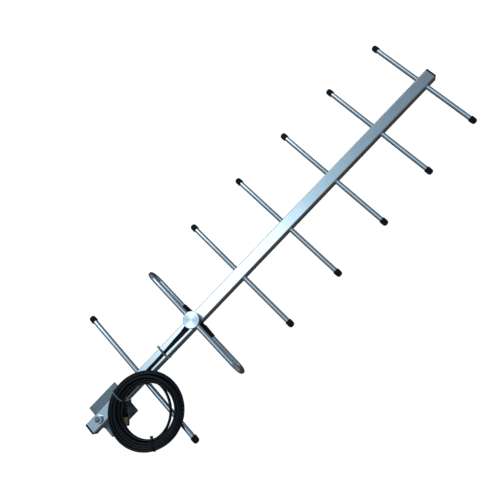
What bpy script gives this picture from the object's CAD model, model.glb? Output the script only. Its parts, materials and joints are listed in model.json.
import json
import math

import bmesh
import bpy
from mathutils import Matrix, Vector


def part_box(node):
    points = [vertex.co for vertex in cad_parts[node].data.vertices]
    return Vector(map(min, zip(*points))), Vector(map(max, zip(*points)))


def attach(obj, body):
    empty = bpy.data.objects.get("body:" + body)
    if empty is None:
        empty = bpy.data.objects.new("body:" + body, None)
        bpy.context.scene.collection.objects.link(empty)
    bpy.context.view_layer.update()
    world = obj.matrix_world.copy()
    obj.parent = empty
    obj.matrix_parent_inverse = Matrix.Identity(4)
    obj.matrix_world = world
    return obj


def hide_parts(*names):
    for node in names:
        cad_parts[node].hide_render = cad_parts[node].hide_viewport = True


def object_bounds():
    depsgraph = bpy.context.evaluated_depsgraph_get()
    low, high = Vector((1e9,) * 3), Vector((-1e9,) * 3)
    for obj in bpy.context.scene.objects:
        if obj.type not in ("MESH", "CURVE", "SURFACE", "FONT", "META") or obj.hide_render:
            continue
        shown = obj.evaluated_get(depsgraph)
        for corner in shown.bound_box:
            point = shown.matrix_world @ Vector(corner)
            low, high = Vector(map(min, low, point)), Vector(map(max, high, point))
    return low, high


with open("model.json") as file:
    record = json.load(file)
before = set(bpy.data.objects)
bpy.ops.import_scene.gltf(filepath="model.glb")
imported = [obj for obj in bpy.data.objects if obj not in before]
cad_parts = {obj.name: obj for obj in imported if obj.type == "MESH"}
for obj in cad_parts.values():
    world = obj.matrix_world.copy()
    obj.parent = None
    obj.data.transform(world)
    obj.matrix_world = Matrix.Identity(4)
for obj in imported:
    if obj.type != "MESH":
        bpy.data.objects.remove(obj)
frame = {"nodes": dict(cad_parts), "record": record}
cad_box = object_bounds()
MM = 0.001
BODY = "antenna"

# ---- Places taken from the frame ----
post_lo, post_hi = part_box("feed_post")
post_axis = (post_lo + post_hi) / 2
boom_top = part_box("boom_tube")[1].z
dipole_x = post_axis.x
post_r = (post_hi.x - post_lo.x) / 2
arm_top_z = post_axis.z


# ---- Camera ----
def make_camera():
    data = bpy.data.cameras.new("camera")
    data.lens = 43.2
    data.sensor_width = 36
    data.shift_x = -0.0052
    data.shift_y = -0.0868
    data.dof.use_dof = False
    cam = bpy.data.objects.new("camera", data)
    bpy.context.collection.objects.link(cam)
    cam.location = (0.2155, -0.1689, 0.5989)
    ahead = Vector((0.0437, 0.3394, -0.9396)).normalized()
    right = Vector((0.6924, -0.6883, -0.2164)).normalized()
    up = right.cross(ahead).normalized()
    right = ahead.cross(up)
    turn = Matrix((right, up, -ahead)).transposed()
    cam.rotation_mode = "QUATERNION"
    cam.rotation_quaternion = turn.to_quaternion()
    bpy.context.scene.camera = cam


# ---- Node helpers ----
def colour_ramp(tree, value, stops):
    ramp = tree.nodes.new("ShaderNodeValToRGB")
    bar = ramp.color_ramp
    while len(bar.elements) < len(stops):
        bar.elements.new(0.5)
    for element, (place, colour) in zip(bar.elements, stops):
        element.position = place
        element.color = (*colour, 1.0)
    tree.links.new(value, ramp.inputs["Fac"])
    return ramp.outputs["Color"]


class Shader:
    """A material with a Principled shader and short calls for the nodes that feed it."""

    def __init__(self, name, **sockets):
        self.material = bpy.data.materials.new(name)
        self.material.use_nodes = True
        self.tree = self.material.node_tree
        self.bsdf = self.tree.nodes["Principled BSDF"]
        for socket, value in sockets.items():
            self.bsdf.inputs[socket.replace("_", " ")].default_value = value

    def node(self, kind, **settings):
        made = self.tree.nodes.new(kind)
        for key, value in settings.items():
            setattr(made, key, value)
        return made

    def link(self, out, into):
        self.tree.links.new(out, into)

    def coords(self, scale):
        place = self.node("ShaderNodeTexCoord")
        mapping = self.node("ShaderNodeMapping")
        mapping.inputs["Scale"].default_value = scale
        self.link(place.outputs["Object"], mapping.inputs["Vector"])
        return mapping.outputs["Vector"]

    def noise(self, scale, detail=3.0, rough=0.5):
        tex = self.node("ShaderNodeTexNoise")
        tex.inputs["Scale"].default_value = 1.0
        tex.inputs["Detail"].default_value = detail
        tex.inputs["Roughness"].default_value = rough
        self.link(self.coords(scale), tex.inputs["Vector"])
        return tex.outputs["Fac"]

    def span(self, value, low, high):
        span = self.node("ShaderNodeMapRange")
        span.inputs["To Min"].default_value = low
        span.inputs["To Max"].default_value = high
        self.link(value, span.inputs["Value"])
        return span.outputs["Result"]

    def sideways(self, direction):
        """How far a point lies along a level direction from the piece's own axis, 0 to 1 by angle."""
        place = self.node("ShaderNodeTexCoord")
        flat = self.node("ShaderNodeVectorMath", operation="MULTIPLY")
        flat.inputs[1].default_value = (1, 1, 0)
        self.link(place.outputs["Object"], flat.inputs[0])
        unit = self.node("ShaderNodeVectorMath", operation="NORMALIZE")
        self.link(flat.outputs["Vector"], unit.inputs[0])
        dot = self.node("ShaderNodeVectorMath", operation="DOT_PRODUCT")
        dot.inputs[1].default_value = direction
        self.link(unit.outputs["Vector"], dot.inputs[0])
        size = self.node("ShaderNodeMath", operation="ABSOLUTE")
        self.link(dot.outputs["Value"], size.inputs[0])
        return size.outputs["Value"]

    def colour(self, value, stops):
        self.link(colour_ramp(self.tree, value, stops), self.bsdf.inputs["Base Color"])

    def rough(self, value, low, high):
        self.link(self.span(value, low, high), self.bsdf.inputs["Roughness"])

    def bump(self, value, depth, strength=1.0):
        bump = self.node("ShaderNodeBump")
        bump.inputs["Strength"].default_value = strength
        bump.inputs["Distance"].default_value = depth
        self.link(value, bump.inputs["Height"])
        self.link(bump.outputs["Normal"], self.bsdf.inputs["Normal"])


# ---- Materials ----
def extruded_aluminium():
    """Anodised square tube: fine die lines along X and faint clouding."""
    s = Shader("boom_aluminium", Metallic=1.0)
    lines = s.noise((6, 2600, 2600), 2.0)
    cloud = s.noise((60, 60, 60), 4.0)
    s.colour(cloud, [(0.3, (0.72, 0.78, 0.82)), (0.7, (0.80, 0.85, 0.88))])
    s.rough(lines, 0.11, 0.15)
    s.bump(lines, 0.000002, 0.3)
    return s.material


def drawn_aluminium():
    """Rod stock: draw lines along Y and small handling marks."""
    s = Shader("rod_aluminium", Metallic=1.0)
    lines = s.noise((2600, 6, 2600), 2.0)
    marks = s.noise((140, 60, 140), 4.0)
    s.colour(marks, [(0.3, (0.60, 0.68, 0.74)), (0.7, (0.66, 0.74, 0.80))])
    s.rough(lines, 0.13, 0.16)
    return s.material


def turned_aluminium():
    """Faced post: tool rings round its axis, which spread the light in wedges."""
    s = Shader("turned_aluminium", Metallic=1.0, Anisotropic=0.3)
    place = s.node("ShaderNodeTexCoord")
    rings = s.node("ShaderNodeTexWave", wave_type="RINGS", rings_direction="Z")
    rings.inputs["Scale"].default_value = 900
    rings.inputs["Distortion"].default_value = 0.4
    s.link(place.outputs["Object"], rings.inputs["Vector"])
    tangent = s.node("ShaderNodeTangent", direction_type="RADIAL", axis="Z")
    s.link(tangent.outputs["Tangent"], s.bsdf.inputs["Tangent"])
    wedge = s.sideways((0.748, 0.664, 0))
    s.colour(wedge, [
        (0.0, (0.34, 0.42, 0.52)), (0.55, (0.42, 0.50, 0.58)), (0.82, (0.62, 0.71, 0.77)),
        (1.0, (0.74, 0.80, 0.83)),
    ])
    s.rough(rings.outputs["Fac"], 0.12, 0.17)
    s.bump(rings.outputs["Fac"], 0.000003, 0.3)
    return s.material


def plated_steel(name, low, high, rough_low, rough_high):
    """Zinc-plated or rolled metal: soft spangle and scuffs."""
    s = Shader(name, Metallic=1.0)
    spangle = s.node("ShaderNodeTexVoronoi", feature="F1")
    spangle.inputs["Scale"].default_value = 1.0
    s.link(s.coords((420, 420, 420)), spangle.inputs["Vector"])
    s.colour(spangle.outputs["Distance"], [(0.0, low), (1.0, high)])
    scuffs = s.noise((900, 260, 900), 6.0, 0.6)
    s.rough(scuffs, rough_low, rough_high)
    s.bump(scuffs, 0.00002, 0.35)
    return s.material


def moulded(name, low, high, rough_low, rough_high, grain=1800, depth=0.00003, shine=0.22):
    """Moulded plastic or rubber: fine grain with slightly uneven gloss."""
    s = Shader(name)
    s.bsdf.inputs["Specular IOR Level"].default_value = shine
    grain_noise = s.noise((grain, grain, grain), 4.0, 0.6)
    patches = s.noise((130, 130, 130), 3.0)
    s.colour(patches, [(0.3, low), (0.7, high)])
    s.rough(patches, rough_low, rough_high)
    s.bump(grain_noise, depth, 0.5)
    return s.material


def strap_plastic(name, low, high, clearness):
    """Nylon strap, a little translucent."""
    s = Shader(name)
    s.bsdf.inputs["Transmission Weight"].default_value = clearness
    s.bsdf.inputs["IOR"].default_value = 1.45
    milky = s.noise((500, 500, 500), 3.0)
    s.colour(milky, [(0.2, low), (0.8, high)])
    s.rough(milky, 0.22, 0.42)
    s.bump(milky, 0.00002, 0.3)
    return s.material


def plated_brass():
    """Dull brass with uneven tarnish."""
    s = Shader("gold_brass", Metallic=1.0)
    tarnish = s.noise((260, 260, 260), 5.0, 0.6)
    s.colour(tarnish, [(0.3, (0.38, 0.22, 0.12)), (0.7, (0.56, 0.36, 0.20))])
    s.rough(tarnish, 0.24, 0.42)
    s.bump(s.noise((2600, 2600, 2600), 2.0), 0.00001, 0.4)
    return s.material


def floor_material():
    s = Shader("floor_paint", Roughness=0.9)
    s.bsdf.inputs["Specular IOR Level"].default_value = 0.0
    s.bsdf.inputs["Emission Color"].default_value = (1, 1, 1, 1)
    s.bsdf.inputs["Emission Strength"].default_value = 0.8
    s.colour(s.noise((3, 3, 3), 2.0), [(0.0, (0.88, 0.88, 0.88)), (1.0, (0.92, 0.92, 0.92))])
    return s.material


BOOM = extruded_aluminium()
ROD = drawn_aluminium()
TURNED = turned_aluminium()
ZINC = plated_steel("zinc_steel", (0.55, 0.58, 0.60), (0.72, 0.74, 0.76), 0.2, 0.4)
NUT = plated_steel("nut_steel", (0.70, 0.76, 0.80), (0.78, 0.83, 0.86), 0.2, 0.28)
LEG = plated_steel("leg_steel", (0.26, 0.29, 0.32), (0.36, 0.39, 0.42), 0.25, 0.4)
PLATE = plated_steel("plate_steel", (0.20, 0.245, 0.275), (0.27, 0.32, 0.35), 0.32, 0.5)
CAP = moulded("cap_plastic", (0.004, 0.004, 0.005), (0.010, 0.010, 0.012), 0.42, 0.55)
RUBBER = moulded("black_rubber", (0.006, 0.006, 0.007), (0.013, 0.013, 0.015), 0.55, 0.7)
JACKET = moulded("cable_jacket", (0.002, 0.003, 0.005), (0.006, 0.008, 0.013), 0.22, 0.32, 900, shine=0.32)
WHITE = moulded("white_plastic", (0.75, 0.75, 0.72), (0.85, 0.85, 0.82), 0.3, 0.45)
CORE = moulded("core_plastic", (0.5, 0.3, 0.14), (0.6, 0.38, 0.18), 0.3, 0.45)
GREY_TIE = strap_plastic("grey_tie", (0.26, 0.32, 0.31), (0.38, 0.44, 0.43), 0.45)
CLEAR_TIE = strap_plastic("clear_tie", (0.34, 0.38, 0.40), (0.50, 0.54, 0.56), 0.6)
BRASS = plated_brass()
NICKEL = plated_steel("black_nickel", (0.012, 0.012, 0.014), (0.03, 0.03, 0.034), 0.3, 0.45)

SLOT_LOOKS = {
    "boom": BOOM,
    "rod_aluminium": ROD,
    "turned_aluminium": TURNED,
    "plate": PLATE,
    "zinc_steel": ZINC,
    "black_plastic": CAP,
    "black_rubber": RUBBER,
    "cable_jacket": JACKET,
    "core_plastic": CORE,
    "grey_tie": GREY_TIE,
    "clear_tie": CLEAR_TIE,
    "white_plastic": WHITE,
    "gold_brass": BRASS,
    "black_nickel": NICKEL,
}
SLOT_OF = {s["node"]: s["material_slot"] for s in frame["record"]["subparts"]}


def dress_nodes():
    """Each CAD node gets the look of its material slot."""
    for name, obj in frame["nodes"].items():
        look = SLOT_LOOKS[SLOT_OF[name]]
        obj.data.materials.clear()
        obj.data.materials.append(look)


# ---- Mesh helpers ----
def new_object(name, mesh, look, body, origin=(0, 0, 0)):
    obj = bpy.data.objects.new(name, mesh)
    bpy.context.collection.objects.link(obj)
    obj.location = origin
    mesh.materials.append(look)
    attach(obj, body)
    return obj


def smooth(obj, angle):
    """Smooth shading, with edges sharper than the angle in degrees kept."""
    for face in obj.data.polygons:
        face.use_smooth = True
    obj.data.set_sharp_from_angle(angle=math.radians(angle))


def skin(name, rings, origin, look, body=BODY, hollow=False):
    """Joins rings of points into a closed surface; a hollow one joins its last ring to its first."""
    bm = bmesh.new()
    loops = [[bm.verts.new(point) for point in ring] for ring in rings]
    count = len(loops[0])
    pairs = list(zip(loops, loops[1:]))
    if hollow:
        pairs.append((loops[-1], loops[0]))
    for low, high in pairs:
        for k in range(count):
            j = (k + 1) % count
            bm.faces.new((low[k], low[j], high[j], high[k]))
    if not hollow:
        bm.faces.new(list(reversed(loops[0])))
        bm.faces.new(loops[-1])
    bmesh.ops.recalc_face_normals(bm, faces=bm.faces)
    mesh = bpy.data.meshes.new(name)
    bm.to_mesh(mesh)
    bm.free()
    obj = new_object(name, mesh, look, body, origin)
    smooth(obj, 30)
    return obj


def level_ring(radius, height, steps):
    angles = [2 * math.pi * k / steps for k in range(steps)]
    return [Vector((radius * math.cos(a), radius * math.sin(a), height)) for a in angles]


def softened(node, width, body):
    """A copy of a CAD node with its hard edges rounded, standing for it."""
    source = frame["nodes"][node]
    bm = bmesh.new()
    bm.from_mesh(source.data)
    bmesh.ops.remove_doubles(bm, verts=bm.verts, dist=0.000002)
    bmesh.ops.dissolve_limit(bm, angle_limit=math.radians(1), verts=bm.verts, edges=bm.edges)
    mesh = bpy.data.meshes.new(node + "_soft")
    bm.to_mesh(mesh)
    bm.free()
    obj = new_object(node + "_soft", mesh, SLOT_LOOKS[SLOT_OF[node]], body)
    bevel = obj.modifiers.new("edges", "BEVEL")
    bevel.width = width
    bevel.segments = 2
    bevel.limit_method = "ANGLE"
    bevel.angle_limit = math.radians(35)
    smooth(obj, 40)
    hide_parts(node)
    return obj


# CAD nodes whose hard edges are rounded, with the radius in millimetres and the body they ride.
SOFT_EDGES = [
    ("mast_bracket", 0.35, BODY), ("mast_saddle", 0.5, BODY), ("front_plug", 0.3, BODY),
    ("rear_plug", 0.3, BODY), ("feed_insulator", 0.15, BODY), ("coupling_nut", 0.2, "coupling"),
    ("connector_body", 0.12, BODY), ("boom_tie", 0.12, BODY), ("coil_tie", 0.12, BODY),
    ("bundle_tie", 0.12, BODY), ("sleeve_left", 0.2, BODY), ("sleeve_right", 0.2, BODY),
]

# ---- Cable ----
CABLE_D = 2.8 * MM
CABLE_LIFT = 0.05 * MM
BOOT_LENGTH = 6 * MM
BOOT_YAW = math.radians(-3)
FERRULE_BACK = 12 * MM
CONNECTOR_YAW = math.radians(227)
COIL_CENTRE = Vector((0.030, -0.0295, boom_top + 0.007))
COIL_TURN = Matrix.Rotation(math.radians(4.3), 3, "Y") @ Matrix.Rotation(math.radians(3.4), 3, "X")
COIL_R = 0.03125
COLUMN = 2.35 * MM
ROW = 1.3 * MM
# Each turn's place in the bundle: columns outwards and rows upwards from its middle.
TURN_PLACES = [
    (0, -3), (1, -2), (2, -1), (2, 1), (1, 2), (0, 3), (-1, 2),
    (0, 1), (1, 0), (0, -1), (-1, 0), (-2, 1), (-2, -1), (-1, -2),
]
POINTS_PER_TURN = 24
# Angles round the coil, in degrees: where the cable comes in and where it leaves.
COIL_IN, COIL_OUT = 62, 50
# A turn slides to its next place near this angle, scattered from turn to turn, over this span.
CHANGE_ANGLE, CHANGE_SCATTER, SCATTER_RATE, CHANGE_SPAN = 56, 120, 2.4, 110
# The bundle's wide flat side, and how much it widens, flattens and moves inwards there.
WIDE_SIDE = math.radians(135)
WIDENING, FLATTENING, INWARDS = 0.3, 0.2, 1.5 * MM
# Waver of the turns: how far and how many times in a turn, outwards and upwards.
WAVER_OUT, WAVER_OUT_RATE = 0.25 * MM, 2.137
WAVER_UP, WAVER_UP_RATE = 0.2 * MM, 1.713
# The loose strand: its middle and half length in degrees, and how far it lies inside its turn.
LOOSE_MIDDLE, LOOSE_HALF, LOOSE_DEPTH = 318 + 360 * 12, 78, 5.2 * MM


def run_points():
    """From the boot's end along the boom to the coil."""
    away = Vector((-math.cos(BOOT_YAW), math.sin(BOOT_YAW), 0))
    start = Vector((dipole_x, 0, arm_top_z)) + (post_r + BOOT_LENGTH) * away
    cable_z = boom_top + CABLE_D / 2 + CABLE_LIFT
    route = [
        (-26, -1, 1.6), (-33, -1.1, 0.6), (-39, -1.2, 0), (-43, -1.3, 0), (-49, -1.5, 0),
        (-55, -1.6, 0), (-62, -1.6, 0.1), (-67, -1.8, 0.75),
    ]
    points = [start, start + 3 * MM * away - Vector((0, 0, 0.1 * MM))]
    points += [Vector((dipole_x + x * MM, y * MM, cable_z + z * MM)) for x, y, z in route]
    return points


def coil_points():
    """Fourteen turns, each sliding to its next place in the bundle, with one loose strand.

    The bundle spreads wide and flat on one side and bunches up on the other.
    """
    first, last = COIL_IN, COIL_OUT + 360 * len(TURN_PLACES)
    count = POINTS_PER_TURN * len(TURN_PLACES)
    points = []
    for k in range(count + 1):
        angle = first + (last - first) * k / count
        column, row = TURN_PLACES[0]
        for turn in range(1, len(TURN_PLACES)):
            change = CHANGE_ANGLE + 360 * turn + CHANGE_SCATTER * math.sin(SCATTER_RATE * turn)
            part = min(max((angle - change) / CHANGE_SPAN + 0.5, 0), 1)
            ease = part * part * (3 - 2 * part)
            old, new = TURN_PLACES[turn - 1], TURN_PLACES[turn]
            column += ease * (new[0] - old[0])
            row += ease * (new[1] - old[1])
        phase = math.radians(angle)
        spread = math.cos(phase - WIDE_SIDE)
        radius = COIL_R - INWARDS * spread + COLUMN * (1 + WIDENING * spread) * column
        radius += WAVER_OUT * math.sin(WAVER_OUT_RATE * phase)
        height = ROW * (1 - FLATTENING * spread) * row + WAVER_UP * math.sin(WAVER_UP_RATE * phase)
        loose = (angle - LOOSE_MIDDLE) / LOOSE_HALF
        if abs(loose) < 1:
            radius -= LOOSE_DEPTH * (1 - loose * loose) ** 1.5
        local = Vector((radius * math.cos(phase), radius * math.sin(phase), height))
        points.append(COIL_CENTRE + COIL_TURN @ local)
    return points


def tail_points():
    """From the coil to the connector's ferrule."""
    route = [
        (34, -1.9, 4.2), (30.5, -1.7, 3.6), (27, -1.8, 3.1), (24, -2.3, 2.6), (21.3, -3, 2.1),
        (18.9, -4.3, 1.7), (17.5, -6.4, 0.9), (16.4, -8.1, -0.2), (15.3, -9.3, -1),
        (14.3, -10.4, -1.5),
    ]
    points = [Vector((x * MM, y * MM, boom_top + z * MM)) for x, y, z in route]
    nut_middle = Vector((5.3 * MM, -20 * MM, boom_top - 1.6 * MM))
    plug_direction = Vector((math.cos(CONNECTOR_YAW), math.sin(CONNECTOR_YAW), 0))
    points.append(nut_middle - FERRULE_BACK * plug_direction)
    return points


def make_cable():
    data = bpy.data.curves.new("cable", "CURVE")
    data.dimensions = "3D"
    data.bevel_depth = CABLE_D / 2
    data.bevel_resolution = 3
    data.resolution_u = 3
    data.use_fill_caps = True
    points = run_points() + coil_points() + tail_points()
    line = data.splines.new("BEZIER")
    line.bezier_points.add(len(points) - 1)
    for place, point in zip(line.bezier_points, points):
        place.co = point
        place.handle_left_type = place.handle_right_type = "AUTO"
    obj = bpy.data.objects.new("cable", data)
    bpy.context.collection.objects.link(obj)
    data.materials.append(JACKET)
    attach(obj, BODY)
    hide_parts("coax_run", "coax_coil", "coax_tail")
    return obj


def declare_cable():
    """Called once the rounded copies exist, because they're among the cord's pieces."""
    run_points()[0]


# ---- Feed post ----
def make_post():
    height = post_hi.z - post_lo.z
    edge = 0.18 * MM
    profile = [
        (post_r - edge, 0), (post_r, edge), (post_r, height - edge),
        (post_r - 0.3 * edge, height - 0.3 * edge), (post_r - edge, height),
        (post_r - 1.3 * edge, height), (post_r * 0.5, height), (0.1 * MM, height),
    ]
    post = skin(
        "feed_post_turned", [level_ring(radius, rise, 96) for radius, rise in profile],
        (post_axis.x, post_axis.y, post_lo.z), TURNED,
    )
    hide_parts("feed_post")


# ---- Rod caps ----
# In millimetres: the bore, its depth, a tip radius, and radius and depth along the outside.
CAP_BORE = 2.55
CAP_BORE_DEPTH = 5.4
CAP_TIP = 0.05
CAP_PROFILE = [
    (CAP_BORE, 0.0), (3.15, 0.0), (3.3, 0.2), (3.3, 3.6), (3.2, 4.8), (2.9, 5.7),
    (2.35, 6.4), (1.5, 6.85), (CAP_TIP, 7.0),
]


def make_cap(node):
    """A moulded cap with a domed end, open towards the rod."""
    low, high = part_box(node)
    length = high.y - low.y
    side = 1 if low.y > 0 else -1
    mouth = low.y if side > 0 else high.y
    scale = length / CAP_PROFILE[-1][1]
    steps = 40
    rings = []
    for radius, depth in [(CAP_TIP, CAP_BORE_DEPTH), (CAP_BORE, CAP_BORE_DEPTH)] + CAP_PROFILE:
        rings.append([
            Vector((radius * MM * math.cos(a), side * depth * scale, radius * MM * math.sin(a)))
            for a in (2 * math.pi * k / steps for k in range(steps))
        ])
    place = ((low.x + high.x) / 2, mouth, (low.z + high.z) / 2)
    cap = skin(node + "_domed", rings, place, CAP)
    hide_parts(node)


# ---- Mast clamp ----
THREAD_PITCH = 0.8 * MM
THREAD_DEPTH = 0.4 * MM
THREADED_LENGTH = 14 * MM
THREAD_STEP = 0.1 * MM
THREAD_RUN_OUT = 0.3 * MM
LEG_CHAMFER = 0.6 * MM
LEG_CHAMFER_SLOPE = 0.8
BOLT_SIDES = 24
BOW_STEPS = 40
NUT_BORE = 2.55 * MM
NUT_COUNTERSINK = 0.35 * MM
NUT_STEPS = 72
# A nut's face is a circle, this share of its width across flats; past it the corners fall away.
NUT_FACE = 0.96
NUT_SLOPE = 1.73
NUT_CUTS = [0, 0.1 * MM, 0.2 * MM, 0.3 * MM, 0.42 * MM]


def thread_radius(bar, rise, turn, top):
    """Bar radius at a height and a part of a turn, with the thread's groove and the end's chamfer."""
    groove = abs(2 * ((rise / THREAD_PITCH - turn) % 1) - 1)
    chamfer = max(0, LEG_CHAMFER - (top - rise))
    return bar - THREAD_DEPTH * groove - LEG_CHAMFER_SLOPE * chamfer


def leg_ring(side, leg, bar, rise, top):
    """One ring of a leg's thread, on the front leg with side 1 and on the rear leg with side -1."""
    ring = []
    for k in range(BOLT_SIDES):
        a = 2 * math.pi * k / BOLT_SIDES
        turn = k / BOLT_SIDES if side > 0 else 1 - k / BOLT_SIDES
        r = thread_radius(bar, rise, turn, top)
        ring.append(Vector((side * (leg + r * math.cos(a)), r * math.sin(a), rise)))
    return ring


def make_u_bolt():
    low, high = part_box("u_bolt")
    bar = (high.y - low.y) / 2
    leg = high.x - bar
    rises = [high.z - THREAD_STEP * k for k in range(int(THREADED_LENGTH / THREAD_STEP) + 1)]
    rings = [leg_ring(1, leg, bar, rise, high.z) for rise in rises]
    plain_z = rises[-1] - THREAD_RUN_OUT
    bow = [(Vector((leg, 0, plain_z)), Vector((1, 0, 0)))]
    for k in range(BOW_STEPS + 1):
        t = math.pi * k / BOW_STEPS
        out = Vector((math.cos(t), 0, -math.sin(t)))
        bow.append((leg * out, out))
    bow.append((Vector((-leg, 0, plain_z)), Vector((-1, 0, 0))))
    for middle, out in bow:
        rings.append([
            middle + bar * (math.cos(a) * out + math.sin(a) * Vector((0, 1, 0)))
            for a in (2 * math.pi * k / BOLT_SIDES for k in range(BOLT_SIDES))
        ])
    rings += [leg_ring(-1, leg, bar, rise, high.z) for rise in reversed(rises)]
    bolt = skin("u_bolt_threaded", rings, (0, 0, 0), LEG, "u_bolt")
    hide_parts("u_bolt")


def make_nut(node, body):
    """A hexagon nut with both faces turned down at their corners and a countersunk bore."""
    low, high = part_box(node)
    height = high.z - low.z
    flat = (high.y - low.y) / 2
    wide_bore = NUT_BORE + NUT_COUNTERSINK

    def hexagon(cut, rise):
        limit = NUT_FACE * flat + NUT_SLOPE * cut
        ring = []
        for k in range(NUT_STEPS):
            a = 2 * math.pi * k / NUT_STEPS
            r = min(flat / math.cos(a % (math.pi / 3) - math.pi / 6), limit)
            ring.append(Vector((r * math.cos(a), r * math.sin(a), rise)))
        return ring

    rings = [level_ring(wide_bore, 0, NUT_STEPS)]
    rings += [hexagon(cut, cut) for cut in NUT_CUTS]
    rings += [hexagon(cut, height - cut) for cut in reversed(NUT_CUTS)]
    rings.append(level_ring(wide_bore, height, NUT_STEPS))
    rings.append(level_ring(NUT_BORE, height - NUT_COUNTERSINK, NUT_STEPS))
    rings.append(level_ring(NUT_BORE, NUT_COUNTERSINK, NUT_STEPS))
    place = ((low.x + high.x) / 2, (low.y + high.y) / 2, low.z)
    nut = skin(node + "_chamfered", rings, place, NUT, body, hollow=True)
    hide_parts(node)


# ---- Lights, world and floor ----
# One long strip light, which the left rods mirror and the boom's top doesn't.
STRIP_PLACE = (0.35, 0.78, 1.5)
STRIP_AIM = (0.35, 0.78, 0)
STRIP_LENGTH, STRIP_WIDTH = 1.9, 0.26
STRIP_WATTS = 2.6
STRIP_COLOUR = (0.92, 0.97, 1.0)
FLOOR_HALF = 4.0
FLOOR_DROP = 0.12


def area_light(name, place, aim, size_x, size_y, watts, colour):
    data = bpy.data.lights.new(name, "AREA")
    data.shape = "RECTANGLE"
    data.size = size_x
    data.size_y = size_y
    data.energy = watts
    data.color = colour
    obj = bpy.data.objects.new(name, data)
    bpy.context.collection.objects.link(obj)
    obj.location = place
    obj.rotation_mode = "QUATERNION"
    obj.rotation_quaternion = (Vector(aim) - Vector(place)).to_track_quat("-Z", "Y")
    obj.visible_camera = False


# Overhead glow: its direction, its reach in degrees, and its fall-off from the rim to the middle.
GLOW_DIRECTION = (-0.075, 0.282, 0.956)
GLOW_REACH = 34


def glow_place(degrees):
    rim = math.cos(math.radians(GLOW_REACH))
    return (math.cos(math.radians(degrees)) - rim) / (1 - rim)


GLOW_STOPS = [
    (glow_place(34), (0.0, 0.0, 0.0)),
    (glow_place(26), (0.05, 0.06, 0.07)),
    (glow_place(20), (0.12, 0.18, 0.22)),
    (glow_place(15), (0.25, 0.36, 0.44)),
    (glow_place(11), (0.42, 0.60, 0.72)),
    (glow_place(8), (0.85, 1.05, 1.15)),
    (glow_place(6), (1.25, 1.35, 1.35)),
]
# The room from straight below to straight above.
ROOM_STOPS = [
    (0.0, (0.05, 0.045, 0.045)),
    (0.45, (0.08, 0.07, 0.07)),
    (0.56, (0.26, 0.29, 0.32)),
    (0.75, (0.20, 0.25, 0.29)),
    (1.0, (0.12, 0.16, 0.20)),
]


def make_world():
    """A dim cool room with one soft round glow overhead and a dark bench below; white to the eye."""
    world = bpy.data.worlds.new("studio")
    bpy.context.scene.world = world
    world.use_nodes = True
    tree = world.node_tree
    tree.nodes.clear()
    place = tree.nodes.new("ShaderNodeTexCoord")
    split = tree.nodes.new("ShaderNodeSeparateXYZ")
    tree.links.new(place.outputs["Generated"], split.inputs["Vector"])
    height = tree.nodes.new("ShaderNodeMapRange")
    height.inputs["From Min"].default_value = -1
    tree.links.new(split.outputs["Z"], height.inputs["Value"])
    room = colour_ramp(tree, height.outputs["Result"], ROOM_STOPS)
    toward = tree.nodes.new("ShaderNodeVectorMath")
    toward.operation = "DOT_PRODUCT"
    toward.inputs[1].default_value = GLOW_DIRECTION
    tree.links.new(place.outputs["Generated"], toward.inputs[0])
    near = tree.nodes.new("ShaderNodeMapRange")
    near.inputs["From Min"].default_value = math.cos(math.radians(GLOW_REACH))
    tree.links.new(toward.outputs["Value"], near.inputs["Value"])
    glow = colour_ramp(tree, near.outputs["Result"], GLOW_STOPS)
    total = tree.nodes.new("ShaderNodeVectorMath")
    total.operation = "ADD"
    tree.links.new(room, total.inputs[0])
    tree.links.new(glow, total.inputs[1])
    lit = tree.nodes.new("ShaderNodeBackground")
    white = tree.nodes.new("ShaderNodeBackground")
    white.inputs["Color"].default_value = (1, 1, 1, 1)
    path = tree.nodes.new("ShaderNodeLightPath")
    mix = tree.nodes.new("ShaderNodeMixShader")
    out = tree.nodes.new("ShaderNodeOutputWorld")
    tree.links.new(total.outputs["Vector"], lit.inputs["Color"])
    tree.links.new(path.outputs["Is Camera Ray"], mix.inputs["Fac"])
    tree.links.new(lit.outputs["Background"], mix.inputs[1])
    tree.links.new(white.outputs["Background"], mix.inputs[2])
    tree.links.new(mix.outputs["Shader"], out.inputs["Surface"])


def make_floor():
    """Pale floor under the object; the metal doesn't mirror it."""
    mesh = bpy.data.meshes.new("floor")
    half, level = FLOOR_HALF, cad_box[0].z - FLOOR_DROP
    corners = [(-half, -half, level), (half, -half, level), (half, half, level), (-half, half, level)]
    mesh.from_pydata(corners, [], [(0, 1, 2, 3)])
    floor = bpy.data.objects.new("floor", mesh)
    bpy.context.collection.objects.link(floor)
    mesh.materials.append(floor_material())
    floor.visible_glossy = False


def light_scene():
    bpy.context.scene.view_settings.view_transform = "Standard"
    area_light(
        "strip_left", STRIP_PLACE, STRIP_AIM, STRIP_LENGTH, STRIP_WIDTH, STRIP_WATTS, STRIP_COLOUR,
    )


make_camera()
cable = make_cable()
dress_nodes()
make_post()
for cap_name in sorted(name for name in frame["nodes"] if "_cap_" in name):
    make_cap(cap_name)
make_u_bolt()
make_nut("clamp_nut_front", "nut_front")
make_nut("clamp_nut_rear", "nut_rear")
soft_copies = {node: softened(node, width * MM, body) for node, width, body in SOFT_EDGES}
on_cable = [frame["nodes"]["connector_" + part] for part in ("ferrule", "insulator", "pin")]
on_cable += [soft_copies[name] for name in ("connector_body", "coupling_nut", "bundle_tie")]
declare_cable()
make_world()
make_floor()
light_scene()

bpy.context.view_layer.update()
